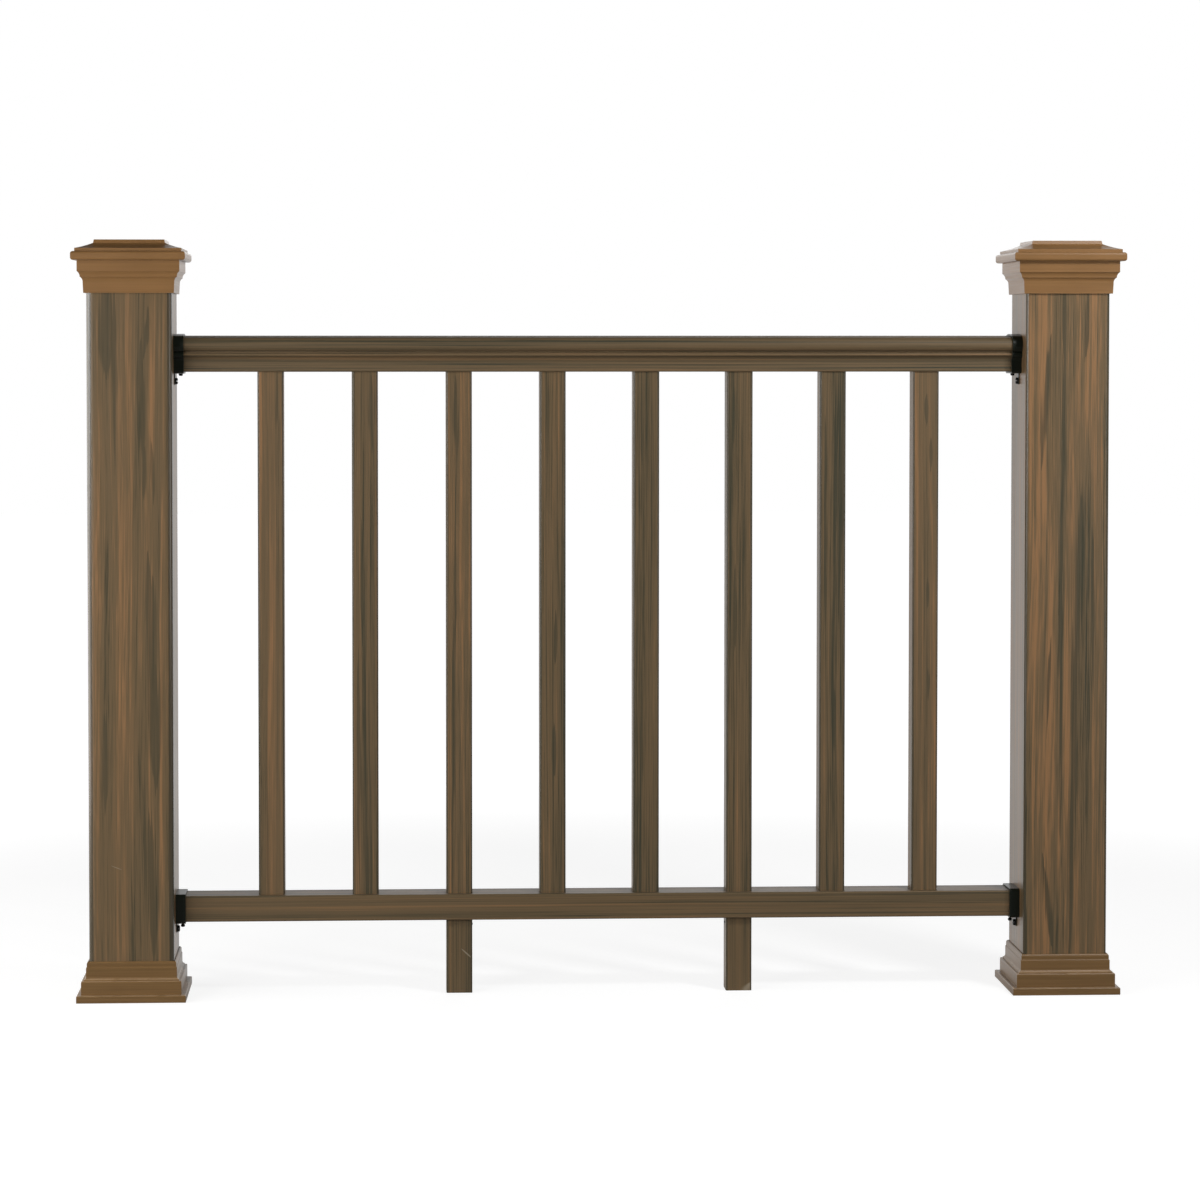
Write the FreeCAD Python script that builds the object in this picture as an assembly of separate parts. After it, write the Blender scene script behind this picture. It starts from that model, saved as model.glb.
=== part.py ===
import FreeCAD, Part
import math
import os

# Deck railing section: two hollow composite posts with moulded caps and stepped skirts, joined by a moulded top rail
# and a plain bottom rail that socket brackets hold to the posts, with square balusters between the rails and two
# feet under the lower one.
# Millimetres. +X runs along the railing, +Y to its back and +Z up. The origin is on the ground midway between the posts.

# Railing layout
post_spacing = 1292.0
rail_height = 914.0
post_rise_above_rail = 58.0
baluster_pitch = 130.0
smallest_end_gap = 60.0
feet_apart_in_pitches = 3

# Post sleeve
post_width = 116.5
post_wall = 11.0
post_corner_radius = 5.0

# Post cap, a moulded shell over the top of the sleeve, with its profile given from the lower edge up
cap_grip = 20.0
cap_clearance = 0.4
cap_band_proud = 3.3
cap_band_flare = 0.7
cap_band_height = 15.0
cap_lower_cove_reach = 3.7
cap_lower_cove_height = 7.0
cap_upper_cove_reach = 3.7
cap_upper_cove_height = 7.5
cap_frieze_height = 15.0
cap_lip_reach = 8.1
cap_lip_height = 12.2
cap_lip_radius = 3.5
cap_shoulder_setback = 5.2
cap_shoulder_height = 4.3
cap_roof_rise = 7.5
cap_roof_hollow = 0.7
cap_plateau_width = 96.0
cap_plateau_height = 4.7
cap_plateau_batter = 1.0
cap_seat_width = 5.0
cap_shell = 7.0

# Post skirt, a moulded collar around the foot of the sleeve, with its profile given from the ground up
skirt_clearance = 0.4
skirt_plate_proud = 16.6
skirt_plate_height = 9.8
skirt_band_proud = 10.4
skirt_band_height = 19.0
skirt_step_proud = 7.1
skirt_step_height = 1.6
skirt_cove_height = 4.1
skirt_collar_proud = 4.0
skirt_collar_height = 12.0
skirt_neck_proud = 3.0
skirt_neck_chamfer = 0.9
skirt_neck_height = 4.1
skirt_bevel_height = 3.5
skirt_bevel_run = 1.8
skirt_shell = 2.8
skirt_edge_radius = 1.5

# Top rail, an extrusion with its profile given from the underside up
rail_wall = 5.0
rail_edge_radius = 2.0
top_rail_body_width = 43.0
top_rail_body_height = 14.5
top_rail_cove_reach = 4.0
top_rail_cove_height = 7.2
top_rail_bead_height = 4.2
top_rail_bead_reach = 1.8
top_rail_quirk_depth = 1.6
top_rail_quirk_height = 2.4
top_rail_crown_overhang = 6.5
top_rail_crown_lower = 8.7
top_rail_crown_upper = 10.5
top_rail_crown_shoulder = 9.0
top_rail_crown_camber = 2.5

# Bottom rail, a rectangular extrusion that stands on the feet
bottom_rail_depth = 52.0
bottom_rail_height = 36.0
foot_length = 103.0

# Balusters and feet, cut from one square hollow stock
baluster_width = 36.0
baluster_wall = 5.0
baluster_corner_radius = 2.5

# Socket bracket that holds a rail's end to a post
bracket_depth = 14.0
bracket_back = 3.2
bracket_wall = 2.2
bracket_clearance = 0.3
bracket_tab_width = 14.0
bracket_tab_length = 15.5
bracket_tab_thickness = 1.4
bracket_tab_radius = 4.0
bracket_screw_hole = 4.4
bracket_screw_drop = 10.4

# What follows from those sizes
clear_span = post_spacing - post_width
post_face = post_width / 2
post_length = rail_height + post_rise_above_rail + cap_grip
cap_bottom = post_length - cap_grip
bottom_rail_top = foot_length + bottom_rail_height
top_rail_height = (top_rail_body_height + top_rail_cove_height + top_rail_bead_height + top_rail_quirk_height
                   + top_rail_crown_lower + top_rail_crown_upper + top_rail_crown_camber)
top_rail_underside = rail_height - top_rail_height
rail_half_length = clear_span / 2 - bracket_back
quarter_round_bow = 1 - math.cos(math.pi / 4)

centre = FreeCAD.Vector(0, 0, 0)
along = FreeCAD.Vector(1, 0, 0)
inward = FreeCAD.Vector(0, 1, 0)
up = FreeCAD.Vector(0, 0, 1)


def bowed(start, end, bow):
    """An arc step from start to end that bows to the outside of a profile drawn upwards, or inside if negative."""
    run = end[0] - start[0]
    rise = end[1] - start[1]
    chord = math.hypot(run, rise)
    middle = ((start[0] + end[0]) / 2 + bow * rise / chord, (start[1] + end[1]) / 2 - bow * run / chord)
    return middle, end


def quarter_round(start, end):
    """A convex quarter circle between two points that lie a radius apart each way."""
    return bowed(start, end, quarter_round_bow * abs(end[1] - start[1]))


def profile_point(across, height):
    return FreeCAD.Vector(across, 0, height)


def profile_edges(steps):
    """Edges through the steps: a pair is the end of a straight run, and two pairs are an arc's middle and end."""
    edges = []
    here = profile_point(*steps[0])
    for step in steps[1:]:
        if isinstance(step[0], tuple):
            middle = profile_point(*step[0])
            there = profile_point(*step[1])
            edges.append(Part.Arc(here, middle, there).toShape())
        else:
            there = profile_point(*step)
            edges.append(Part.LineSegment(here, there).toShape())
        here = there
    return edges


def symmetric_wire(steps):
    """A closed profile in the XZ plane from its right half, which starts and ends on the centre line."""
    right = profile_edges(steps)
    left = [edge.mirror(centre, along) for edge in right]
    return Part.Wire(Part.__sortEdges__(right + left))


def square_moulding(steps):
    """A square block with the profile on all four sides, mitred at its corners."""
    face = Part.Face(symmetric_wire(steps))
    reach = face.BoundBox.XMax
    across_front = face.extrude(inward * 2 * reach)
    across_front.translate(inward * -reach)
    across_sides = across_front.copy()
    across_sides.rotate(centre, up, 90)
    return across_front.common(across_sides).removeSplitter()


def run_along(wire, start, end):
    """A profile that lies across the railing, run along it from start to end."""
    bar = Part.Face(wire).extrude(inward * (end - start))
    bar.rotate(centre, up, -90)
    bar.translate(along * start)
    return bar.removeSplitter()


def square_bar(width, corner_radius, bottom, top):
    """An upright square bar with rounded corners, centred on the origin."""
    bar = Part.makeBox(width, width, top - bottom, FreeCAD.Vector(-width / 2, -width / 2, bottom))
    corners = [edge for edge in bar.Edges if abs(edge.tangentAt(edge.FirstParameter).dot(up)) > 0.5]
    return bar.makeFillet(corner_radius, corners)


def square_tube(width, wall, corner_radius, bottom, top):
    bore_radius = max(corner_radius - wall, corner_radius / 4)
    return square_bar(width, corner_radius, bottom, top).cut(square_bar(width - 2 * wall, bore_radius, bottom, top))


def cap_outside():
    """The cap's moulded outside: band, two coves, frieze, drip lip, shoulder, hipped roof and flat plateau."""
    band_foot = (post_face + cap_band_proud, cap_bottom)
    band_top = (band_foot[0] + cap_band_flare, band_foot[1] + cap_band_height)
    cove_meeting = (band_top[0] + cap_lower_cove_reach, band_top[1] + cap_lower_cove_height)
    cove_top = (cove_meeting[0] + cap_upper_cove_reach, cove_meeting[1] + cap_upper_cove_height)
    frieze_top = (cove_top[0], cove_top[1] + cap_frieze_height)
    lip_edge = frieze_top[0] + cap_lip_reach
    lip_top = frieze_top[1] + cap_lip_height
    lower_round_start = (lip_edge - cap_lip_radius, frieze_top[1])
    lower_round_end = (lip_edge, frieze_top[1] + cap_lip_radius)
    upper_round_start = (lip_edge, lip_top - cap_lip_radius)
    upper_round_end = (lip_edge - cap_lip_radius, lip_top)
    shoulder_foot = (lip_edge - cap_shoulder_setback, lip_top)
    shoulder_top = (shoulder_foot[0], lip_top + cap_shoulder_height)
    roof_top = (cap_plateau_width / 2 + cap_plateau_batter, shoulder_top[1] + cap_roof_rise)
    plateau = (cap_plateau_width / 2, roof_top[1] + cap_plateau_height)
    return [
        (0, cap_bottom),
        band_foot,
        band_top,
        bowed(band_top, cove_meeting, -cap_lower_cove_reach * quarter_round_bow),
        bowed(cove_meeting, cove_top, -cap_upper_cove_reach * quarter_round_bow),
        frieze_top,
        lower_round_start,
        quarter_round(lower_round_start, lower_round_end),
        upper_round_start,
        quarter_round(upper_round_start, upper_round_end),
        shoulder_foot,
        shoulder_top,
        bowed(shoulder_top, roof_top, -cap_roof_hollow),
        plateau,
        (0, plateau[1]),
    ]


def cap_inside(outside):
    """The cap's hollow: a socket for the sleeve's end, with a ledge on top of it, and a space under the roof."""
    socket = post_face + cap_clearance
    hollow = post_face - cap_seat_width
    ceiling = outside[-1][1] - cap_plateau_height - cap_shell
    shoulder = ceiling - cap_roof_rise
    return [
        (0, cap_bottom),
        (socket, cap_bottom),
        (socket, post_length),
        (hollow, post_length),
        (hollow, shoulder),
        (hollow - cap_roof_rise, ceiling),
        (0, ceiling),
    ]


def post_cap():
    outside = cap_outside()
    return square_moulding(outside).cut(square_moulding(cap_inside(outside)))


def skirt_outside():
    """The skirt's moulded outside: ground plate, band, step, cove, collar, and a neck bevelled to the post."""
    plate_edge = post_face + skirt_plate_proud
    band_edge = post_face + skirt_band_proud
    step_edge = post_face + skirt_step_proud
    collar_edge = post_face + skirt_collar_proud
    neck_edge = post_face + skirt_neck_proud
    plate_round_start = (plate_edge, skirt_plate_height - skirt_edge_radius)
    plate_round_end = (plate_edge - skirt_edge_radius, skirt_plate_height)
    band_top = skirt_plate_height + skirt_band_height
    band_round_start = (band_edge, band_top - skirt_edge_radius)
    band_round_end = (band_edge - skirt_edge_radius, band_top)
    step_top = (step_edge, band_top + skirt_step_height)
    cove_top = (collar_edge, step_top[1] + skirt_cove_height)
    collar_top = (collar_edge, cove_top[1] + skirt_collar_height)
    neck_foot = (neck_edge, collar_top[1] + skirt_neck_chamfer)
    neck_top = (neck_edge, neck_foot[1] + skirt_neck_height)
    bevel_top = (neck_edge - skirt_bevel_run, neck_top[1] + skirt_bevel_height)
    return [
        (0, 0),
        (plate_edge, 0),
        plate_round_start,
        quarter_round(plate_round_start, plate_round_end),
        (band_edge, skirt_plate_height),
        band_round_start,
        quarter_round(band_round_start, band_round_end),
        (step_edge, band_top),
        step_top,
        bowed(step_top, cove_top, (collar_edge - step_edge) * quarter_round_bow),
        collar_top,
        neck_foot,
        neck_top,
        bowed(neck_top, bevel_top, skirt_bevel_run * quarter_round_bow),
        (0, bevel_top[1]),
    ]


def skirt_inside(outside):
    """The skirt's hollow: its shell follows the plate and the band, and its collar closes on the post."""
    top = outside[-1][1]
    plate_hollow = post_face + skirt_plate_proud - skirt_shell
    band_hollow = post_face + skirt_band_proud - skirt_shell
    grip = post_face + skirt_clearance
    plate_ceiling = skirt_plate_height - skirt_shell
    band_ceiling = skirt_plate_height + skirt_band_height - skirt_shell
    return [
        (0, 0),
        (plate_hollow, 0),
        (plate_hollow, plate_ceiling),
        (band_hollow, plate_ceiling),
        (band_hollow, band_ceiling),
        (grip, band_ceiling),
        (grip, top),
        (0, top),
    ]


def post_skirt():
    outside = skirt_outside()
    return square_moulding(outside).cut(square_moulding(skirt_inside(outside)))


def top_rail_outline():
    """The top rail's outside: a flat body, a cove, a bead and a quirk under a rounded crown."""
    body = top_rail_body_width / 2
    body_top = (body, top_rail_underside + top_rail_body_height)
    bead_foot = (body + top_rail_cove_reach, body_top[1] + top_rail_cove_height)
    bead_top = (bead_foot[0], bead_foot[1] + top_rail_bead_height)
    quirk = (bead_top[0] - top_rail_quirk_depth, bead_top[1])
    crown_foot = (quirk[0], quirk[1] + top_rail_quirk_height)
    crown_side = (bead_foot[0] + top_rail_crown_overhang, crown_foot[1] + top_rail_crown_lower)
    crown_shoulder = (crown_side[0] - top_rail_crown_shoulder, crown_side[1] + top_rail_crown_upper)
    edge_start = (body - rail_edge_radius, top_rail_underside)
    edge_end = (body, top_rail_underside + rail_edge_radius)
    crown_width = crown_side[0] - crown_foot[0]
    return [
        (0, top_rail_underside),
        edge_start,
        quarter_round(edge_start, edge_end),
        body_top,
        bowed(body_top, bead_foot, -top_rail_cove_reach * quarter_round_bow),
        bowed(bead_foot, bead_top, top_rail_bead_reach),
        quirk,
        crown_foot,
        bowed(crown_foot, crown_side, crown_width * quarter_round_bow),
        bowed(crown_side, crown_shoulder, top_rail_crown_shoulder * quarter_round_bow),
        bowed(crown_shoulder, (0, rail_height), top_rail_crown_camber * quarter_round_bow),
    ]


def top_rail_chamber():
    """The top rail's hollow, as wide as the body below and opening out in the crown."""
    narrow = top_rail_body_width / 2 - rail_wall
    wide = narrow + top_rail_cove_reach + top_rail_crown_overhang / 2
    floor = top_rail_underside + rail_wall
    ceiling = rail_height - rail_wall
    crown_foot = ceiling - top_rail_crown_upper - top_rail_crown_lower
    crown_side = ceiling - top_rail_crown_upper
    return [
        (0, floor),
        (narrow, floor),
        (narrow, crown_foot),
        (wide, crown_side),
        (narrow, ceiling),
        (0, ceiling),
    ]


def bottom_rail_outline(inset, edge_radius):
    """The bottom rail's rectangle with eased edges, drawn in from its outside by the inset."""
    side = bottom_rail_depth / 2 - inset
    floor = foot_length + inset
    ceiling = bottom_rail_top - inset
    lower_start = (side - edge_radius, floor)
    lower_end = (side, floor + edge_radius)
    upper_start = (side, ceiling - edge_radius)
    upper_end = (side - edge_radius, ceiling)
    return [
        (0, floor),
        lower_start,
        quarter_round(lower_start, lower_end),
        upper_start,
        quarter_round(upper_start, upper_end),
        (0, ceiling),
    ]


def hollow_rail(outside, chamber):
    shell = run_along(outside, -rail_half_length, rail_half_length)
    return shell.cut(run_along(chamber, -rail_half_length, rail_half_length))


def left_bracket(rail_outside, rail_underside):
    """A back plate and a collar that follow the rail's outline, with a thin screw tab and a hole under the rail."""
    back = -clear_span / 2
    front = back + bracket_depth
    collar_outline = rail_outside.makeOffset2D(bracket_clearance + bracket_wall)
    socket_outline = rail_outside.makeOffset2D(bracket_clearance)
    collar = run_along(collar_outline, back, front)
    socket = run_along(socket_outline, back + bracket_back, front)
    collar_underside = collar.BoundBox.ZMin
    tab_foot = collar_underside - bracket_tab_length
    tab_side = bracket_tab_width / 2
    round_start = (tab_side - bracket_tab_radius, tab_foot)
    round_end = (tab_side, tab_foot + bracket_tab_radius)
    tab_steps = [
        (0, tab_foot),
        round_start,
        quarter_round(round_start, round_end),
        (tab_side, rail_underside),
        (0, rail_underside),
    ]
    tab = run_along(symmetric_wire(tab_steps), back, back + bracket_tab_thickness)
    tab_screw = FreeCAD.Vector(back, 0, collar_underside - bracket_screw_drop)
    rail_screw = FreeCAD.Vector((back + bracket_back + front) / 2, 0, collar_underside)
    tab_hole = Part.makeCylinder(bracket_screw_hole / 2, bracket_tab_thickness, tab_screw, along)
    rail_hole = Part.makeCylinder(bracket_screw_hole / 2, rail_underside - collar_underside, rail_screw, up)
    return collar.cut(socket).fuse(tab).cut(tab_hole).cut(rail_hole).removeSplitter()


def placed(shape, x):
    copy = shape.copy()
    copy.translate(along * x)
    return copy


def save(name, shape):
    shape.exportStep("parts/" + name + ".step")


os.makedirs("parts", exist_ok=True)

sleeve = square_tube(post_width, post_wall, post_corner_radius, 0, post_length)
cap = post_cap()
skirt = post_skirt()
for side, x in (("left", -post_spacing / 2), ("right", post_spacing / 2)):
    save(side + "_post", placed(sleeve, x))
    save(side + "_post_cap", placed(cap, x))
    save(side + "_post_skirt", placed(skirt, x))

top_rail_outside = symmetric_wire(top_rail_outline())
bottom_rail_outside = symmetric_wire(bottom_rail_outline(0, rail_edge_radius))
bottom_rail_chamber = symmetric_wire(bottom_rail_outline(rail_wall, rail_edge_radius / 2))
save("top_rail", hollow_rail(top_rail_outside, symmetric_wire(top_rail_chamber())))
save("bottom_rail", hollow_rail(bottom_rail_outside, bottom_rail_chamber))

brackets = {
    "top": left_bracket(top_rail_outside, top_rail_underside),
    "bottom": left_bracket(bottom_rail_outside, foot_length),
}
for level, bracket in brackets.items():
    save(level + "_left_bracket", bracket)
    save(level + "_right_bracket", bracket.mirror(centre, along))

baluster = square_tube(baluster_width, baluster_wall, baluster_corner_radius, bottom_rail_top, top_rail_underside)
room_for_balusters = clear_span - 2 * smallest_end_gap - baluster_width
baluster_count = int(room_for_balusters // baluster_pitch) + 1
for number in range(baluster_count):
    offset = (number - (baluster_count - 1) / 2) * baluster_pitch
    save("baluster_" + str(number + 1), placed(baluster, offset))

foot = square_tube(baluster_width, baluster_wall, baluster_corner_radius, 0, foot_length)
foot_offset = feet_apart_in_pitches * baluster_pitch / 2
save("left_foot", placed(foot, -foot_offset))
save("right_foot", placed(foot, foot_offset))
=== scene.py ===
import math

import bmesh
import bpy
from mathutils import Color, Matrix, Vector


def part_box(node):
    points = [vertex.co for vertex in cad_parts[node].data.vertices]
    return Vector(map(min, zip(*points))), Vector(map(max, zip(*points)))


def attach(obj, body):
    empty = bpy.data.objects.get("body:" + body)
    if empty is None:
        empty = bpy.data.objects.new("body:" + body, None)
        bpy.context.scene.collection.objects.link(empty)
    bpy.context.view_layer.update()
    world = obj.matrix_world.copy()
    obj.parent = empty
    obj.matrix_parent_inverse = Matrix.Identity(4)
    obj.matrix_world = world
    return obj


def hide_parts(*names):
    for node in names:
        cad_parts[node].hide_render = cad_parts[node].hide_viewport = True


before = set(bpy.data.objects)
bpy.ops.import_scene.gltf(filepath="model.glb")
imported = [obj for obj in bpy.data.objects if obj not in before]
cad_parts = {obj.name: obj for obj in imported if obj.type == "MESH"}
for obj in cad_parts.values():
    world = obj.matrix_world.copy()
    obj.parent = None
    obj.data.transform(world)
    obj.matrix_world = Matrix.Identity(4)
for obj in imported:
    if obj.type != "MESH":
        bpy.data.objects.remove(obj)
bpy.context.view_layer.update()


# Post sleeves. Two hollow square tubes of capped wood-plastic composite, extruded with streaks of
# colour that run the whole length and a fine brushed grain. Each slips over a structural post and
# stands on its cut end.

def paint(red, green, blue):
    """A colour from its 0 to 255 values, as shader sockets take it."""
    shade = Color((red / 255, green / 255, blue / 255)).from_srgb_to_scene_linear()
    return (shade.r, shade.g, shade.b, 1.0)


def feed(tree, socket, value):
    """Links another node's output to a socket, or sets a plain value on it."""
    if isinstance(value, bpy.types.NodeSocket):
        tree.links.new(value, socket)
    else:
        socket.default_value = value


def calculate(tree, operation, *values, kind="ShaderNodeMath"):
    """The result of one Math node."""
    node = tree.nodes.new(kind)
    node.operation = operation
    for socket, value in zip(node.inputs, values):
        feed(tree, socket, value)
    return node.outputs[0]


def vector_calculate(tree, operation, *values):
    """The result of one Vector Math node."""
    return calculate(tree, operation, *values, kind="ShaderNodeVectorMath")


def split_axes(tree, vector):
    """The X, Y and Z of a vector, by name."""
    node = tree.nodes.new("ShaderNodeSeparateXYZ")
    tree.links.new(vector, node.inputs[0])
    return node.outputs


def soft_step(tree, value, low, high):
    """0 below low and 1 above high, with a smooth rise between."""
    node = tree.nodes.new("ShaderNodeMapRange")
    node.interpolation_type = "SMOOTHSTEP"
    feed(tree, node.inputs["Value"], value)
    feed(tree, node.inputs["From Min"], low)
    feed(tree, node.inputs["From Max"], high)
    return node.outputs["Result"]


def spread(tree, value, low, high):
    """A value between 0 and 1, spread from low to high."""
    node = tree.nodes.new("ShaderNodeMapRange")
    feed(tree, node.inputs["Value"], value)
    node.inputs["To Min"].default_value = low
    node.inputs["To Max"].default_value = high
    return node.outputs["Result"]


def blended(tree, share, first, second, blend="MIX"):
    """Two colours blended by a share, through the colour sockets of a Mix node."""
    node = tree.nodes.new("ShaderNodeMix")
    node.data_type = "RGBA"
    node.blend_type = blend
    first_colour, second_colour, blended_colour = node.inputs[6], node.inputs[7], node.outputs[2]
    feed(tree, node.inputs["Factor"], share)
    feed(tree, first_colour, first)
    feed(tree, second_colour, second)
    return blended_colour


noise_middle = 0.5


def noise(tree, place, waves_per_metre, detail):
    """Noise with its own number of waves per metre along X, Y and Z."""
    node = tree.nodes.new("ShaderNodeTexNoise")
    scaled = vector_calculate(tree, "MULTIPLY", place, waves_per_metre)
    tree.links.new(scaled, node.inputs["Vector"])
    node.inputs["Scale"].default_value = 1.0
    node.inputs["Detail"].default_value = detail
    return node


def node_group(name, inputs, outputs):
    """An empty shader node group with named sockets, and its input and output nodes."""
    kinds = {"vector": "NodeSocketVector", "colour": "NodeSocketColor", "value": "NodeSocketFloat"}
    tree = bpy.data.node_groups.new(name, "ShaderNodeTree")
    for socket, kind in inputs:
        tree.interface.new_socket(socket, in_out="INPUT", socket_type=kinds[kind])
    for socket, kind in outputs:
        tree.interface.new_socket(socket, in_out="OUTPUT", socket_type=kinds[kind])
    given = tree.nodes.new("NodeGroupInput").outputs
    result = tree.nodes.new("NodeGroupOutput").inputs
    return tree, given, result


def place_group(tree, group, **values):
    """A group placed in a tree, with its inputs given by name, underscores for spaces."""
    node = tree.nodes.new("ShaderNodeGroup")
    node.node_tree = group
    for name, value in values.items():
        feed(tree, node.inputs[name.replace("_", " ")], value)
    return node.outputs


def new_finish(name):
    """A new material, its node tree, its shader and the coordinates of the piece in metres."""
    material = bpy.data.materials.new(name)
    material.use_nodes = True
    tree = material.node_tree
    coordinates = tree.nodes.new("ShaderNodeTexCoord")
    return material, tree, tree.nodes["Principled BSDF"], coordinates.outputs["Object"]


grain_strength = 0.5
rounding_samples = 8


def raise_grain(tree, shader, height, depth, rounding=0.0):
    """Grain raised on the surface, over corners rounded in the shading if a rounding is given."""
    bump = tree.nodes.new("ShaderNodeBump")
    bump.inputs["Distance"].default_value = depth
    bump.inputs["Strength"].default_value = grain_strength
    tree.links.new(height, bump.inputs["Height"])
    if rounding:
        bevel = tree.nodes.new("ShaderNodeBevel")
        bevel.samples = rounding_samples
        bevel.inputs["Radius"].default_value = rounding
        tree.links.new(bevel.outputs["Normal"], bump.inputs["Normal"])
    tree.links.new(bump.outputs["Normal"], shader.inputs["Normal"])


sway_waves = (6.0, 6.0, 1.3)
sway_reach = (0.02, 0.02, 0.0)
streak_layers = {
    "broad": {"waves": (38.0, 38.0, 0.9), "detail": 2.0, "weight": 1.1},
    "middling": {"waves": (115.0, 115.0, 1.5), "detail": 2.0, "weight": 1.1},
    "hairs": {"waves": (430.0, 430.0, 5.0), "detail": 2.0, "weight": 1.15},
    "fibres": {"waves": (1100.0, 1100.0, 22.0), "detail": 1.0, "weight": 0.6},
}
darkest_tone = 0.05
ground_tone = 0.5
warmest_tone = 0.92
plume_waves = (66.0, 66.0, 2.3)
plume_detail = 1.5
plume_start = (0.74, 0.46)
plume_fade = 0.22
plume_fray = 0.16
feather_spread = (-0.2, 1.1)
strongest_dark = 0.75
fibre_grain = 0.5


def make_streaks():
    """Extruded composite, with Z along the extrusion: streaks from dark to warm, and fine grain.

    Each layer of streaks has its waves per metre and the weight with which it lifts or lowers the
    tone. Plumes are frayed patches of the dark, and start sooner the larger the dark share is.
    """
    tree, given, result = node_group(
        "composite_streaks",
        [("Place", "vector"), ("Shade", "value"), ("Contrast", "value"), ("Dark Share", "value"),
         ("Flames", "value"), ("Dark", "colour"), ("Ground", "colour"), ("Warm", "colour")],
        [("Colour", "colour"), ("Grain", "value")],
    )
    sway = noise(tree, given["Place"], sway_waves, detail=1.0).outputs["Color"]
    aside = vector_calculate(tree, "SUBTRACT", sway, (noise_middle, noise_middle, noise_middle))
    offset = vector_calculate(tree, "MULTIPLY", aside, sway_reach)
    swayed = vector_calculate(tree, "ADD", given["Place"], offset)
    layers = {}
    lift = 0.0
    for name, layer in streak_layers.items():
        layers[name] = noise(tree, swayed, layer["waves"], layer["detail"]).outputs["Fac"]
        centred = calculate(tree, "SUBTRACT", layers[name], noise_middle)
        weighted = calculate(tree, "MULTIPLY", centred, layer["weight"])
        lift = calculate(tree, "ADD", lift, weighted)
    lift = calculate(tree, "MULTIPLY", lift, given["Contrast"])
    tone = calculate(tree, "ADD", given["Shade"], lift)
    off_dark = soft_step(tree, tone, darkest_tone, ground_tone)
    to_warm = soft_step(tree, tone, ground_tone, warmest_tone)
    grounded = blended(tree, off_dark, given["Dark"], given["Ground"])
    streaked = blended(tree, to_warm, grounded, given["Warm"])
    plumes = noise(tree, swayed, plume_waves, plume_detail).outputs["Fac"]
    fray = spread(tree, layers["hairs"], -plume_fray, plume_fray)
    frayed = calculate(tree, "ADD", plumes, fray)
    start = spread(tree, given["Dark Share"], *plume_start)
    plume = soft_step(tree, frayed, start, calculate(tree, "ADD", start, plume_fade))
    fine = calculate(tree, "ADD", layers["middling"], layers["hairs"])
    feather = spread(tree, fine, *feather_spread)
    darkened = calculate(tree, "MAXIMUM", plume, given["Flames"])
    feathered = calculate(tree, "MULTIPLY", darkened, feather)
    strongest = calculate(tree, "MULTIPLY", given["Contrast"], strongest_dark)
    shown = calculate(tree, "MINIMUM", feathered, strongest)
    tree.links.new(blended(tree, shown, streaked, given["Dark"]), result["Colour"])
    fibres = calculate(tree, "MULTIPLY", layers["fibres"], fibre_grain)
    tree.links.new(calculate(tree, "ADD", layers["hairs"], fibres), result["Grain"])
    return tree


unfrayed = noise_middle
flame_sway_waves = (0.0, 0.0, 6.0)
flame_sway = 0.003
flame_least_reach = 0.0001
flame_fray = 3.0
flame_edge_fade = 1.35
flame_end_fade = 0.1


def make_flame():
    """One placed streak on an upright face: long, narrow, leaning, and frayed by a feather."""
    tree, given, result = node_group(
        "placed_flame",
        [("Place", "vector"), ("Across", "value"), ("Height", "value"), ("Half Width", "value"),
         ("Half Length", "value"), ("Lean", "value"), ("Feather", "value")],
        [("Mask", "value")],
    )
    axes = split_axes(tree, given["Place"])
    sway = noise(tree, given["Place"], flame_sway_waves, detail=1.0).outputs["Fac"]
    wandered = calculate(tree, "ADD", axes["X"], spread(tree, sway, -flame_sway, flame_sway))
    above = calculate(tree, "SUBTRACT", axes["Z"], given["Height"])
    fray = calculate(tree, "SUBTRACT", given["Feather"], unfrayed)
    share = calculate(tree, "ADD", calculate(tree, "DIVIDE", above, given["Half Length"]), fray)
    taper = calculate(tree, "SUBTRACT", 1.0, calculate(tree, "MULTIPLY", share, share))
    reach = calculate(tree, "MULTIPLY", given["Half Width"], calculate(tree, "MAXIMUM", taper, 0.0))
    leaned = calculate(tree, "MULTIPLY", given["Lean"], above)
    middle = calculate(tree, "ADD", given["Across"], leaned)
    aside = calculate(tree, "ABSOLUTE", calculate(tree, "SUBTRACT", wandered, middle))
    ratio = calculate(tree, "DIVIDE", aside, calculate(tree, "ADD", reach, flame_least_reach))
    frayed = calculate(tree, "ADD", ratio, calculate(tree, "MULTIPLY", fray, flame_fray))
    inside = calculate(tree, "SUBTRACT", 1.0, soft_step(tree, frayed, 0.0, flame_edge_fade))
    ended = soft_step(tree, taper, 0.0, flame_end_fade)
    tree.links.new(calculate(tree, "MULTIPLY", inside, ended), result["Mask"])
    return tree


corner_fade = 0.2


def make_corner_band():
    """The corners of a square bar along Z, from its middle: a mask for painted shade and gloss."""
    tree, given, result = node_group(
        "corner_band",
        [("Place", "vector"), ("Half Width", "value"), ("Radius", "value")],
        [("Mask", "value")],
    )
    axes = split_axes(tree, given["Place"])
    start = calculate(tree, "SUBTRACT", given["Half Width"], given["Radius"])
    full = calculate(tree, "ADD", start, calculate(tree, "MULTIPLY", given["Radius"], corner_fade))
    near = [
        soft_step(tree, calculate(tree, "ABSOLUTE", axes[axis]), start, full)
        for axis in ("X", "Y")
    ]
    tree.links.new(calculate(tree, "MULTIPLY", *near), result["Mask"])
    return tree


composite_streaks = make_streaks()
placed_flame = make_flame()
corner_band = make_corner_band()

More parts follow.
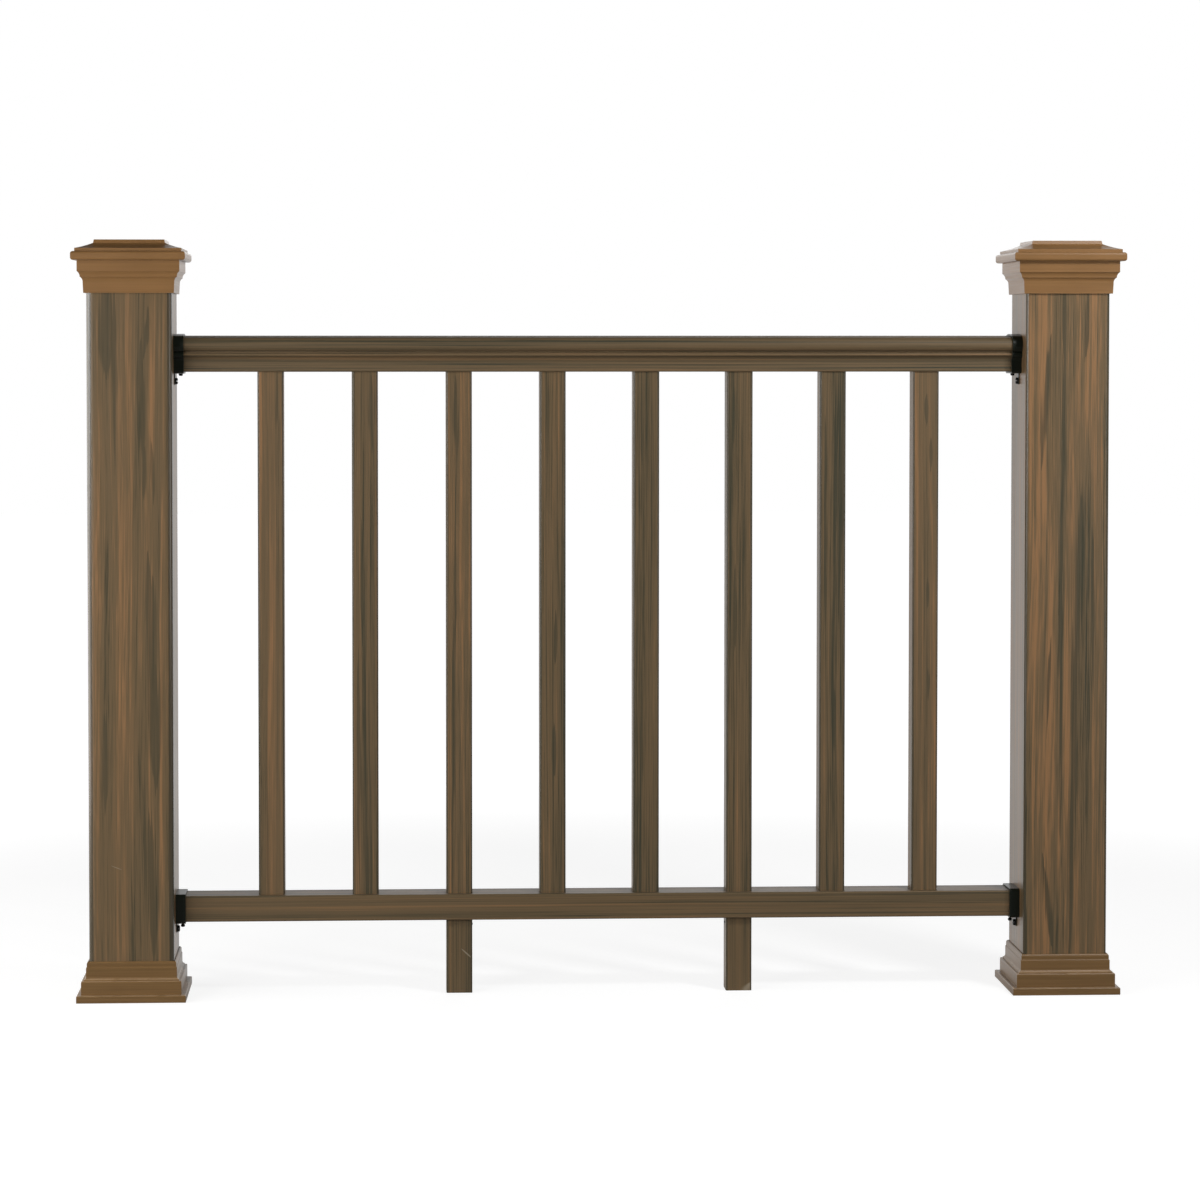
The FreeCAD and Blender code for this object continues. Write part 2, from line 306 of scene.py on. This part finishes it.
composite_dark = paint(60, 59, 46)
composite_ground = paint(104, 86, 62)
composite_warm = paint(139, 104, 70)
composite_polish = (0.24, 0.48)
composite_specular = 0.25
composite_grain_depth = 0.00025
feather_waves = (520.0, 520.0, 6.0)
scuff_colour = paint(158, 146, 126)
scuff_share = 0.6
# Painted shade: the colour that rounded corners and the top rail's cove are darkened towards.
painted_shade_colour = paint(62, 57, 44)
smooth_grain = 0.2
corner_shade_share = 0.75
cove_shade_share = 0.45
cove_fade = 0.0008
gloss_roughness = 0.22
gloss_rounding = 1.9


def shaded_and_flattened(tree, colour, grain, mask, share):
    """Colour darkened by a share where masked, as painted shade, and grain flattened there."""
    shaded = blended(tree, calculate(tree, "MULTIPLY", mask, share), colour, painted_shade_colour)
    flatter = calculate(tree, "MULTIPLY", grain, spread(tree, mask, 1.0, smooth_grain))
    return shaded, flatter


def composite_finish(name, node, shade, contrast, dark_share, lies=False, fineness=1.0,
                     stretch=1.0, corner=0.0, cove=None, gloss=0.0, polish=composite_polish,
                     flames=(), scuffs=()):
    """Streaked composite for one member, along Z or, where it lies, along X.

    Shade is how warm it is, contrast how strong its streaks are, and dark share how much of it is
    dark. A small die draws the streaks finer and longer than a post's, by the fineness across and
    the stretch along. Corner is the width of its corners, which are darkened as painted shade for
    the dark reflection that rounded corners show, and whose grain is flattened. A cove, given by
    the heights of its foot and top, is darkened as painted shade in the same way. Gloss is how far
    the die polishes the corners, and polish the least and most roughness of the faces. Flames and
    scuffs are placed on the front: across from the middle, height, half width, half length and
    lean.
    """
    material, tree, shader, place = new_finish(name)
    low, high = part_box(node)
    middle = (low + high) / 2
    from_middle = vector_calculate(tree, "SUBTRACT", place, tuple(middle))
    drawn = tree.nodes.new("ShaderNodeMapping")
    drawn.inputs["Scale"].default_value = (fineness, fineness, 1.0 / stretch)
    if lies:
        drawn.inputs["Rotation"].default_value = (0.0, math.pi / 2, 0.0)
        drawn.inputs["Scale"].default_value = (1.0 / stretch, fineness, fineness)
    tree.links.new(place, drawn.inputs["Vector"])
    feather = noise(tree, place, feather_waves, detail=2.0).outputs["Fac"] if flames else unfrayed
    masks = {"flames": 0.0, "scuffs": 0.0}
    for kind, placed, fray in (("flames", flames, feather), ("scuffs", scuffs, unfrayed)):
        for across, height, half_width, half_length, lean in placed:
            mark = place_group(tree, placed_flame, Place=from_middle, Across=across,
                               Height=height - middle.z, Half_Width=half_width,
                               Half_Length=half_length, Lean=lean, Feather=fray)
            masks[kind] = calculate(tree, "MAXIMUM", masks[kind], mark["Mask"])
    streaks = place_group(tree, composite_streaks, Place=drawn.outputs["Vector"], Shade=shade,
                          Contrast=contrast, Dark_Share=dark_share, Flames=masks["flames"],
                          Dark=composite_dark, Ground=composite_ground, Warm=composite_warm)
    colour = streaks["Colour"]
    grain = streaks["Grain"]
    if scuffs:
        scuffed = calculate(tree, "MULTIPLY", masks["scuffs"], scuff_share)
        colour = blended(tree, scuffed, colour, scuff_colour)
    # Painted shade: the corners are darkened for the dark reflection they show.
    if corner:
        half_width = high.x - middle.x
        skin = place_group(tree, corner_band, Place=from_middle, Half_Width=half_width,
                           Radius=corner)
        colour, grain = shaded_and_flattened(tree, colour, grain, skin["Mask"], corner_shade_share)
    # Painted shade: the cove under the bead is darkened.
    if cove:
        foot, top = cove
        height = split_axes(tree, place)["Z"]
        above_foot = soft_step(tree, height, foot - cove_fade, foot + cove_fade)
        above_top = soft_step(tree, height, top - cove_fade, top + cove_fade)
        cove_shade = calculate(tree, "SUBTRACT", above_foot, above_top)
        colour, grain = shaded_and_flattened(tree, colour, grain, cove_shade, cove_shade_share)
    if gloss:
        glossy = calculate(tree, "MULTIPLY", skin["Mask"], gloss)
        tree.links.new(glossy, shader.inputs["Coat Weight"])
        shader.inputs["Coat Roughness"].default_value = gloss_roughness
    tree.links.new(colour, shader.inputs["Base Color"])
    tree.links.new(spread(tree, grain, *polish), shader.inputs["Roughness"])
    shader.inputs["Specular IOR Level"].default_value = composite_specular
    rounding = gloss_rounding * corner if gloss else 0.0
    raise_grain(tree, shader, grain, composite_grain_depth, rounding)
    return material


def dress(node, material):
    """Gives a CAD node its finish."""
    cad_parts[node].data.materials.clear()
    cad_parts[node].data.materials.append(material)


post_polish = (0.18, 0.38)
# Corner is the width of each post's corner band that is darkened as painted shade.
post_finishes = {
    "left_post": {"shade": 0.54, "contrast": 0.72, "dark_share": 0.22, "corner": 0.007,
                  "gloss": 0.8, "scuffs": [(-0.020, 0.184, 0.0014, 0.0030, -2.5)]},
    "right_post": {"shade": 0.585, "contrast": 0.95, "dark_share": 0.22, "corner": 0.0035},
}
post_flames = {
    "left_post": [
        (-0.020, 0.860, 0.0030, 0.130, 0.005),
        (-0.031, 0.925, 0.0120, 0.075, 0.0),
        (0.023, 0.915, 0.0040, 0.034, 0.10),
        (0.017, 0.820, 0.0050, 0.085, -0.01),
        (0.019, 0.730, 0.0040, 0.040, 0.0),
        (0.031, 0.728, 0.0030, 0.045, -0.03),
        (0.026, 0.535, 0.0050, 0.085, -0.03),
        (0.030, 0.450, 0.0080, 0.130, 0.0),
        (0.034, 0.380, 0.0080, 0.100, 0.0),
        (0.028, 0.155, 0.0080, 0.100, -0.02),
        (-0.034, 0.330, 0.0050, 0.070, 0.02),
    ],
    "right_post": [
        (-0.005, 0.945, 0.0042, 0.060, 0.005),
        (-0.031, 0.818, 0.0052, 0.095, 0.075),
        (-0.007, 0.700, 0.0036, 0.260, 0.015),
        (0.026, 0.930, 0.0055, 0.050, 0.03),
        (0.017, 0.595, 0.0075, 0.110, 0.035),
        (0.011, 0.330, 0.0062, 0.330, 0.02),
        (0.036, 0.545, 0.0028, 0.120, -0.02),
        (-0.007, 0.400, 0.0026, 0.220, 0.0),
        (-0.024, 0.120, 0.0050, 0.070, -0.10),
        (-0.024, 0.430, 0.0022, 0.070, 0.04),
    ],
}
for post, finish in post_finishes.items():
    dress(post, composite_finish(post + "_composite", post, polish=post_polish,
                                 flames=post_flames[post], **finish))


# Post skirts. A moulded plastic collar around the foot of each post: ground plate, band, step,
# cove, collar and neck, in the caps' tan brown painted darker as shade near the floor, with a
# faint grain that runs round it. Its upward-facing lower ledges are made pale, partly as wear and
# partly as painted highlight from above. It drops over the sleeve and hides the cut end.

def shape_to_piece(shape, name):
    """A piece in the scene, made from a shape that is ready."""
    mesh = bpy.data.meshes.new(name)
    shape.to_mesh(mesh)
    shape.free()
    piece = bpy.data.objects.new(name, mesh)
    bpy.context.scene.collection.objects.link(piece)
    return piece


moulding_join = 1e-6
moulding_flat_angle = math.radians(0.5)
moulding_sharp_angle = math.radians(32)


def eased_copy(node, name, ease):
    """A copy of a moulding with its sharp edges eased, those faces marked in eased_edge."""
    shape = bmesh.new()
    shape.from_mesh(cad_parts[node].data)
    bmesh.ops.remove_doubles(shape, verts=shape.verts, dist=moulding_join)
    bmesh.ops.dissolve_limit(shape, angle_limit=moulding_flat_angle, verts=shape.verts,
                             edges=shape.edges)
    sharp = [
        edge for edge in shape.edges
        if len(edge.link_faces) == 2 and edge.calc_face_angle() > moulding_sharp_angle
    ]
    worn = shape.faces.layers.float.new("eased_edge")
    made = bmesh.ops.bevel(shape, geom=sharp, offset=ease, offset_type="OFFSET", segments=2,
                           profile=0.5, affect="EDGES", clamp_overlap=True)
    for face in made["faces"]:
        face[worn] = 1.0
    for face in shape.faces:
        face.smooth = True
    piece = shape_to_piece(shape, name)
    weighted = piece.modifiers.new("weighted_normals", "WEIGHTED_NORMAL")
    weighted.weight = 100
    return piece


mottle_waves = (14.0, 14.0, 26.0)
mottle_spread = (0.86, 1.14)
level_streak_waves = (5.0, 5.0, 520.0)
pit_waves = (1400.0, 1400.0, 1400.0)
pit_depth = 0.3
wear_waves = (70.0, 70.0, 90.0)
wear_patches = (0.15, 0.60)
upward_facing = (0.3, 0.8)


def make_moulded_skin():
    """Moulded plastic: slow mottling, streaks level round it, pits, and upper edges made pale,
    partly as wear and partly as painted highlight.
    """
    tree, given, result = node_group(
        "moulded_skin",
        [("Place", "vector"), ("Edge", "value"), ("Rise", "value"), ("Rub Top", "value"),
         ("Streak Depth", "value")],
        [("Tone", "value"), ("Texture", "value"), ("Rub", "value")],
    )
    mottle = noise(tree, given["Place"], mottle_waves, detail=2.0).outputs["Fac"]
    streaks = noise(tree, given["Place"], level_streak_waves, detail=3.0).outputs["Fac"]
    pits = noise(tree, given["Place"], pit_waves, detail=1.0).outputs["Fac"]
    wear = noise(tree, given["Place"], wear_waves, detail=3.0).outputs["Fac"]
    centred = calculate(tree, "SUBTRACT", streaks, noise_middle)
    streaked = calculate(tree, "MULTIPLY", centred, given["Streak Depth"])
    tone = calculate(tree, "ADD", spread(tree, mottle, *mottle_spread), streaked)
    tree.links.new(tone, result["Tone"])
    pitted = calculate(tree, "MULTIPLY", pits, pit_depth)
    tree.links.new(calculate(tree, "ADD", pitted, streaks), result["Texture"])
    height = split_axes(tree, given["Place"])["Z"]
    # Only upward-facing parts are lightened: wear, and painted highlight from light above.
    upward = soft_step(tree, given["Rise"], *upward_facing)
    in_reach = calculate(tree, "LESS_THAN", height, given["Rub Top"])
    exposed = calculate(tree, "MULTIPLY", upward, in_reach)
    patchy = calculate(tree, "MULTIPLY", given["Edge"], soft_step(tree, wear, *wear_patches))
    tree.links.new(calculate(tree, "MULTIPLY", patchy, exposed), result["Rub"])
    return tree


moulded_skin = make_moulded_skin()
moulded_specular = 0.28
moulded_polish = 0.08
above_all_pieces = 2.0


def moulded_finish(name, colour, wear_and_highlight_colour, roughness, streak_depth, bump_depth, wear_and_highlight_share,
                   wear_and_highlight_top=above_all_pieces, ledge_highlight=0.0):
    """Moulded plastic, its upper edges lightened to a share of another colour up to a height,
    partly as wear and partly as painted highlight from above.

    Ledge highlight is how far its upward-facing ledges are lightened as its edges are, as painted
    highlight from above.
    """
    material, tree, shader, place = new_finish(name)
    edge = tree.nodes.new("ShaderNodeAttribute")
    edge.attribute_name = "eased_edge"
    lightened_edges = calculate(tree, "MAXIMUM", edge.outputs["Fac"], ledge_highlight)
    facing = split_axes(tree, tree.nodes.new("ShaderNodeNewGeometry").outputs["Normal"])
    skin = place_group(tree, moulded_skin, Place=place, Edge=lightened_edges, Rise=facing["Z"],
                       Rub_Top=wear_and_highlight_top, Streak_Depth=streak_depth)
    grey = tree.nodes.new("ShaderNodeCombineColor")
    for socket in grey.inputs:
        tree.links.new(skin["Tone"], socket)
    toned = blended(tree, 1.0, colour, grey.outputs[0], "MULTIPLY")
    # Painted highlight and wear: upward-facing edges and ledges blend towards a paler colour.
    worn = blended(tree, calculate(tree, "MULTIPLY", skin["Rub"], wear_and_highlight_share), toned, wear_and_highlight_colour)
    tree.links.new(worn, shader.inputs["Base Color"])
    polish = spread(tree, skin["Texture"], roughness - moulded_polish, roughness + moulded_polish)
    tree.links.new(polish, shader.inputs["Roughness"])
    shader.inputs["Specular IOR Level"].default_value = moulded_specular
    raise_grain(tree, shader, skin["Texture"], bump_depth)
    return material


trim_ease = 0.0007
trim_roughness = 0.30
trim_bump_depth = 0.00012
# Pale colour for wear and painted highlight on upward-facing edges and ledges.
trim_wear_and_highlight = paint(176, 148, 116)
skirt_wear_and_highlight_top = 0.036
# The skirts' brown is painted darker than the caps' as shade near the floor.
shaded_skirt_plastic = moulded_finish(
    "shaded_skirt_plastic", paint(112, 85, 52), trim_wear_and_highlight, trim_roughness, streak_depth=0.75,
    bump_depth=trim_bump_depth, wear_and_highlight_share=0.65, wear_and_highlight_top=skirt_wear_and_highlight_top, ledge_highlight=0.7,
)
for side in ("left", "right"):
    node = side + "_post_skirt"
    skirt = eased_copy(node, side + "_skirt_moulding", trim_ease)
    skirt.data.materials.append(shaded_skirt_plastic)
    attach(skirt, "root")
    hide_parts(node)


# Feet. Two short lengths of the baluster stock that stand on the floor and carry the bottom rail
# at its third points, each held by a screw driven at a slant through its inner side.

half_ring_steps = 16


def half_ring(shape, radius, height, slot_half, slot_floor, side):
    """Half a ring about Z, on one side of a slot along X, with its two ends on the slot's floor."""
    start = math.asin(min(slot_half / radius, 1.0))
    sweep = math.pi - 2 * start
    turns = [start + sweep * step / half_ring_steps for step in range(half_ring_steps + 1)]
    rim = [(radius * math.cos(turn), side * radius * math.sin(turn), height) for turn in turns]
    first_end, last_end = [(x, y, slot_floor) for x, y, _ in (rim[0], rim[-1])]
    return [shape.verts.new(place) for place in [first_end, *rim, last_end]]


def round_ring(shape, radius, height):
    """A whole ring about Z."""
    turns = [math.pi * step / half_ring_steps for step in range(2 * half_ring_steps)]
    return [
        shape.verts.new((radius * math.cos(turn), radius * math.sin(turn), height))
        for turn in turns
    ]


def join_rings(shape, rings, closed):
    """Faces from each ring to the next."""
    for first, second in zip(rings, rings[1:]):
        for here in range(len(first) if closed else len(first) - 1):
            after = (here + 1) % len(first)
            shape.faces.new((first[here], first[after], second[after], second[here]))


screw_dome = [(0.95, 0.68), (0.82, 0.88), (0.62, 0.97), (0.35, 1.0), (0.131, 1.0)]
screw_slot_half = 0.13
screw_slot_floor = 0.4
screw_pitch = 0.7
screw_root = 0.8
screw_tip = 0.2
screw_join = 1e-7
screw_sharp_angle = math.radians(35)


def drive_screw(name, head, shank, place, outward, material):
    """A pan-head screw with a level slot, from the radius and length of its head and its shank.

    The head's underside is at place, and the head looks outward.
    """
    head_radius, head_height = head
    shank_radius, shank_length = shank
    pitch = screw_pitch * shank_radius
    slot_half = screw_slot_half * head_radius
    slot_floor = screw_slot_floor * head_height
    dome = [(1.0, slot_floor / head_height)] + screw_dome
    shape = bmesh.new()
    for side in (1, -1):
        rings = [
            half_ring(shape, share * head_radius, rise * head_height, slot_half, slot_floor, side)
            for share, rise in dome
        ]
        join_rings(shape, rings, closed=False)
        shape.faces.new(rings[-1])
    body = [(head_radius, slot_floor), (head_radius, 0.0)]
    for turn in range(int(shank_length / pitch)):
        body.append((screw_root * shank_radius, -turn * pitch))
        body.append((shank_radius, -(turn + 0.5) * pitch))
    body.append((screw_tip * shank_radius, -shank_length - pitch))
    rings = [round_ring(shape, radius, height) for radius, height in body]
    join_rings(shape, rings, closed=True)
    shape.faces.new(rings[0])
    shape.faces.new(rings[-1])
    bmesh.ops.remove_doubles(shape, verts=shape.verts, dist=screw_join)
    bmesh.ops.recalc_face_normals(shape, faces=shape.faces)
    for face in shape.faces:
        face.smooth = True
    screw = shape_to_piece(shape, name)
    screw.data.set_sharp_from_angle(angle=screw_sharp_angle)
    turned = Vector(outward).to_track_quat("Z", "Y").to_matrix().to_4x4()
    screw.data.transform(Matrix.Translation(place) @ turned)
    screw.data.materials.append(material)
    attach(screw, "root")


speck_waves = (900.0, 900.0, 900.0)
speck_edge = (0.5, 0.75)
screw_polish = (0.30, 0.55)
screw_metal = 0.7


def screw_finish(name, colour, worn_colour):
    """Coated steel, with the coating rubbed thin in specks."""
    material, tree, shader, place = new_finish(name)
    specks = noise(tree, place, speck_waves, detail=3.0).outputs["Fac"]
    worn = blended(tree, soft_step(tree, specks, *speck_edge), colour, worn_colour)
    tree.links.new(worn, shader.inputs["Base Color"])
    tree.links.new(spread(tree, specks, *screw_polish), shader.inputs["Roughness"])
    shader.inputs["Metallic"].default_value = screw_metal
    return material


foot_finishes = {
    "left_foot": {"shade": 0.43, "dark_share": 0.20,
                  "scuffs": [(0.010, 0.055, 0.0017, 0.0070, -1.1)]},
    "right_foot": {"shade": 0.42, "dark_share": 0.14,
                   "scuffs": [(0.012, 0.003, 0.0070, 0.0090, 0.60)]},
}
foot_contrast = 0.7
foot_stretch = 2.5
stock_fineness = 1.6
# The width of the stock's corner band that is darkened as painted shade.
stock_corner = 0.0025
toe_screw_head = (0.0042, 0.0026)
toe_screw_shank = (0.0020, 0.014)
toe_screw_drop = 0.011
toe_screw_sink = 0.0026
toe_screw_slope = 0.6
black_screw = screw_finish("black_screw", paint(24, 24, 22), paint(74, 72, 66))
for foot, finish in foot_finishes.items():
    dress(foot, composite_finish(foot + "_composite", foot, contrast=foot_contrast,
                                 fineness=stock_fineness, stretch=foot_stretch,
                                 corner=stock_corner, **finish))
    low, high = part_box(foot)
    inner = -1.0 if low.x > 0 else 1.0
    inner_face = low.x if low.x > 0 else high.x
    toe = (inner_face - inner * toe_screw_sink, 0.0, high.z - toe_screw_drop)
    drive_screw(foot + "_toe_screw", toe_screw_head, toe_screw_shank, toe,
                (inner, 0.0, -toe_screw_slope), black_screw)


# Bottom rail. A rectangular hollow extrusion of the same composite with eased edges, which lies on
# the feet between the two lower brackets.

rail_stretch = 3.0
dress("bottom_rail", composite_finish("bottom_rail_composite", "bottom_rail", shade=0.45,
                                      contrast=0.75, dark_share=0.22, lies=True, fineness=1.4,
                                      stretch=rail_stretch))


# Balusters. Eight lengths of square hollow composite between the rails, each with its own shade,
# contrast and share of dark streaks.

baluster_stretch = 1.2
baluster_streaks = [
    (0.60, 0.7, 0.16), (0.38, 0.8, 0.32), (0.54, 0.9, 0.24), (0.38, 0.85, 0.30),
    (0.32, 0.8, 0.28), (0.38, 0.8, 0.28), (0.36, 0.9, 0.30), (0.50, 0.7, 0.16),
]
baluster_flames = [
    [(0.009, 0.830, 0.0020, 0.040, 0.0)],
    [(0.009, 0.810, 0.0040, 0.060, 0.0), (-0.004, 0.570, 0.0026, 0.090, 0.0),
     (-0.009, 0.320, 0.0024, 0.170, 0.0)],
    [(-0.004, 0.800, 0.0036, 0.065, 0.0), (-0.0072, 0.444, 0.0022, 0.420, 0.010)],
    [(0.002, 0.335, 0.0034, 0.040, 0.0), (0.004, 0.490, 0.0024, 0.040, 0.0)],
    [(-0.007, 0.800, 0.0030, 0.070, 0.0)],
    [(-0.009, 0.810, 0.0020, 0.050, 0.0), (-0.006, 0.530, 0.0030, 0.060, 0.0)],
    [(-0.011, 0.660, 0.0030, 0.140, 0.0), (0.003, 0.700, 0.0026, 0.120, 0.0),
     (0.003, 0.380, 0.0026, 0.050, 0.0)],
    [(0.001, 0.810, 0.0022, 0.024, 0.0), (0.006, 0.750, 0.0022, 0.026, 0.0),
     (0.003, 0.555, 0.0024, 0.022, 0.0), (0.005, 0.430, 0.0020, 0.024, 0.0)],
]
for number, (streaks, flames) in enumerate(zip(baluster_streaks, baluster_flames), start=1):
    baluster = "baluster_" + str(number)
    shade, contrast, dark_share = streaks
    dress(baluster, composite_finish(baluster + "_composite", baluster, shade, contrast, dark_share,
                                     fineness=stock_fineness, stretch=baluster_stretch,
                                     corner=stock_corner, flames=flames))


# Top rail. A hollow extrusion of the same composite, with a rounded crown for the hand over a
# quirk, a bead and a cove, which is darkened as painted shade. It spans between the two upper
# brackets and caps the balusters.

top_rail_polish = (0.34, 0.58)
# Heights above the rail's foot of its cove, which is darkened as painted shade.
top_rail_cove = (0.0130, 0.0217)
top_rail_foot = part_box("top_rail")[0].z
dress("top_rail", composite_finish("top_rail_composite", "top_rail", shade=0.35, contrast=0.85,
                                   dark_share=0.26, lies=True, fineness=1.3, stretch=rail_stretch,
                                   cove=[top_rail_foot + height for height in top_rail_cove],
                                   polish=top_rail_polish))


# Socket brackets. Four black plastic brackets: a back plate with a collar that takes the rail's end
# and a thin tab below. A black pan-head screw holds the tab to the post, and a smaller one goes up
# into the rail, at the lower brackets not fully driven.

bracket_ease = 0.0004
bracket_tab_thickness = 0.0014
bracket_tab_length = 0.0155
bracket_screw_drop = 0.0104
post_screw_head = (0.0046, 0.0033)
post_screw_shank = (0.0021, 0.012)
rail_screw_head = (0.0029, 0.0032)
rail_screw_shank = (0.0021, 0.010)
rail_screw_place = 0.0086
rail_screw_stand = {"top": 0.0, "bottom": 0.0050}
# The brackets' upward-facing eased edges are lightened grey, as wear and painted highlight.
bracket_plastic = moulded_finish(
    "bracket_plastic", paint(23, 28, 21), paint(84, 86, 80), roughness=0.28, streak_depth=0.1,
    bump_depth=0.00010, wear_and_highlight_share=0.7,
)
brackets = [
    (level, level + "_" + side + "_bracket")
    for level in ("top", "bottom") for side in ("left", "right")
]
for level, node in brackets:
    bracket = eased_copy(node, node + "_moulding", bracket_ease)
    bracket.data.materials.append(bracket_plastic)
    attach(bracket, "root")
    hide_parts(node)
    low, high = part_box(node)
    inner = -1.0 if low.x > 0 else 1.0
    post_side = high.x if low.x > 0 else low.x
    collar_foot = low.z + bracket_tab_length
    on_tab = (post_side + inner * bracket_tab_thickness, 0.0, collar_foot - bracket_screw_drop)
    under_rail = (post_side + inner * rail_screw_place, 0.0, collar_foot - rail_screw_stand[level])
    drive_screw(node + "_post_screw", post_screw_head, post_screw_shank, on_tab,
                (inner, 0.0, 0.0), black_screw)
    drive_screw(node + "_rail_screw", rail_screw_head, rail_screw_shank, under_rail,
                (0.0, 0.0, -1.0), black_screw)


# Post caps. A moulded plastic cap on the top of each post: band, two coves, frieze, drip lip,
# hipped roof and a flat plateau, in a tan brown that is lighter than the skirts, whose brown is
# painted darker as shade. It sleeves over the post's end.

# The caps' upward-facing eased edges are lightened, as wear and painted highlight.
cap_plastic = moulded_finish(
    "cap_plastic", paint(128, 94, 57), trim_wear_and_highlight, trim_roughness, streak_depth=0.34,
    bump_depth=trim_bump_depth, wear_and_highlight_share=0.25,
)
for side in ("left", "right"):
    node = side + "_post_cap"
    cap = eased_copy(node, side + "_cap_moulding", trim_ease)
    cap.data.materials.append(cap_plastic)
    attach(cap, "root")
    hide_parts(node)


# Studio floor. A plain white sheet under the railing, which keeps its soft shadow and fades to the
# white surroundings. It lies a hair below the railing, so that the two don't share a plane.

white = (1.0, 1.0, 1.0, 1.0)
floor_radius = 14.0
floor_sides = 96
floor_gap = 0.0005
floor_grey = (0.25, 0.25, 0.25, 1.0)
floor_roughness = 0.9
floor_specular = 0.1
floor_fade = (1.3, 2.6)
floor_glow = (0.84, 1.0)
floor_mirrored = (-0.3, 0.3)
shape = bmesh.new()
bmesh.ops.create_circle(shape, cap_ends=True, radius=floor_radius, segments=floor_sides)
floor = shape_to_piece(shape, "floor")
floor.location.z = -floor_gap
material, tree, shader, place = new_finish("floor_white")
shader.inputs["Base Color"].default_value = floor_grey
shader.inputs["Roughness"].default_value = floor_roughness
shader.inputs["Specular IOR Level"].default_value = floor_specular
reach = tree.nodes.new("ShaderNodeVectorMath")
reach.operation = "LENGTH"
tree.links.new(place, reach.inputs[0])
far = soft_step(tree, reach.outputs["Value"], *floor_fade)
behind = soft_step(tree, split_axes(tree, place)["Y"], *floor_mirrored)
rays = tree.nodes.new("ShaderNodeLightPath").outputs
mirrored = calculate(tree, "MAXIMUM", rays["Is Glossy Ray"], rays["Is Transmission Ray"])
mirrored = calculate(tree, "MULTIPLY", mirrored, behind)
seen = calculate(tree, "MAXIMUM", rays["Is Camera Ray"], mirrored)
strength = calculate(tree, "MULTIPLY", seen, spread(tree, far, *floor_glow))
glow = tree.nodes.new("ShaderNodeEmission")
glow.inputs["Color"].default_value = white
tree.links.new(strength, glow.inputs["Strength"])
surface = tree.nodes.new("ShaderNodeAddShader")
tree.links.new(shader.outputs["BSDF"], surface.inputs[0])
tree.links.new(glow.outputs["Emission"], surface.inputs[1])
tree.links.new(surface.outputs["Shader"], tree.nodes["Material Output"].inputs["Surface"])
floor.data.materials.append(material)


# Studio light. A white backdrop under a dim ceiling, a key light in front of each end, the right
# one higher with a low fill below it, a broad soft panel along the left end, and weaker lights over
# the right post and behind.

ceiling_rise = (0.10, 0.45)
backdrop_turn = (-0.35, 0.15)
ambient_strength = (0.15, 0.03)
mirrored_strength = (0.08, 1.0)
surroundings = bpy.data.worlds.new("studio_surroundings")
surroundings.use_nodes = True
tree = surroundings.node_tree
direction = split_axes(tree, tree.nodes.new("ShaderNodeTexCoord").outputs["Generated"])
ceiling = soft_step(tree, direction["Z"], *ceiling_rise)
behind = soft_step(tree, direction["Y"], *backdrop_turn)
wall = calculate(tree, "MULTIPLY", behind, spread(tree, ceiling, 1.0, 0.0))
rays = tree.nodes.new("ShaderNodeLightPath").outputs
ambient = tree.nodes["Background"]
ambient.inputs["Color"].default_value = white
tree.links.new(spread(tree, ceiling, *ambient_strength), ambient.inputs["Strength"])
backdrop = tree.nodes.new("ShaderNodeBackground")
backdrop.inputs["Color"].default_value = white
mirrored = spread(tree, wall, *mirrored_strength)
strength = calculate(tree, "MAXIMUM", rays["Is Camera Ray"], mirrored)
tree.links.new(strength, backdrop.inputs["Strength"])
seen = calculate(tree, "MAXIMUM", rays["Is Camera Ray"], rays["Is Glossy Ray"])
seen = calculate(tree, "MAXIMUM", seen, rays["Is Transmission Ray"])
both = tree.nodes.new("ShaderNodeMixShader")
tree.links.new(seen, both.inputs["Fac"])
tree.links.new(ambient.outputs["Background"], both.inputs[1])
tree.links.new(backdrop.outputs["Background"], both.inputs[2])
tree.links.new(both.outputs["Shader"], tree.nodes["World Output"].inputs["Surface"])
bpy.context.scene.world = surroundings


def soft_light(name, place, target, size, power):
    """A rectangular lamp at a place, turned to a target, of a width and height."""
    lamp = bpy.data.lights.new(name, "AREA")
    lamp.shape = "RECTANGLE"
    lamp.size, lamp.size_y = size
    lamp.energy = power
    light = bpy.data.objects.new(name, lamp)
    light.location = place
    light.rotation_euler = (Vector(target) - Vector(place)).to_track_quat("-Z", "Y").to_euler()
    bpy.context.scene.collection.objects.link(light)


soft_light("left_key_light", (-1.9, -2.2, 1.05), (-0.4, 0.0, 0.6), size=(0.8, 0.8), power=26.0)
soft_light("right_key_light", (1.25, -1.2, 1.8), (0.6, 0.0, 0.6), size=(0.35, 0.35), power=22.0)
soft_light("right_fill_light", (1.9, -2.2, 0.6), (0.4, 0.0, 0.4), size=(0.8, 0.8), power=12.0)
soft_light("left_panel", (-2.1, -0.45, 0.65), (-0.6, -0.1, 0.65), size=(2.4, 1.2), power=38.0)
soft_light("right_top_light", (1.15, -0.35, 2.1), (0.65, 0.0, 1.0), size=(0.6, 0.6), power=2.0)
soft_light("back_light", (0.4, 3.2, 1.9), (0.0, 0.0, 0.5), size=(2.4, 1.6), power=14.0)


# Camera. A long lens in front of the left balusters, level with the top rail, tilted a little down
# and turned slightly right.

camera_tilt = 0.0368
camera_turn = 0.0458
view = bpy.data.cameras.new("camera")
view.sensor_width = 36.0
view.lens = 104.9
view.shift_x = 0.0389
view.shift_y = -0.104
camera = bpy.data.objects.new("camera", view)
camera.location = (-0.286, -4.856, 0.899)
camera.rotation_euler = (math.pi / 2 - camera_tilt, 0.0, -camera_turn)
bpy.context.scene.collection.objects.link(camera)
bpy.context.scene.camera = camera
bpy.context.scene.view_settings.view_transform = "Standard"
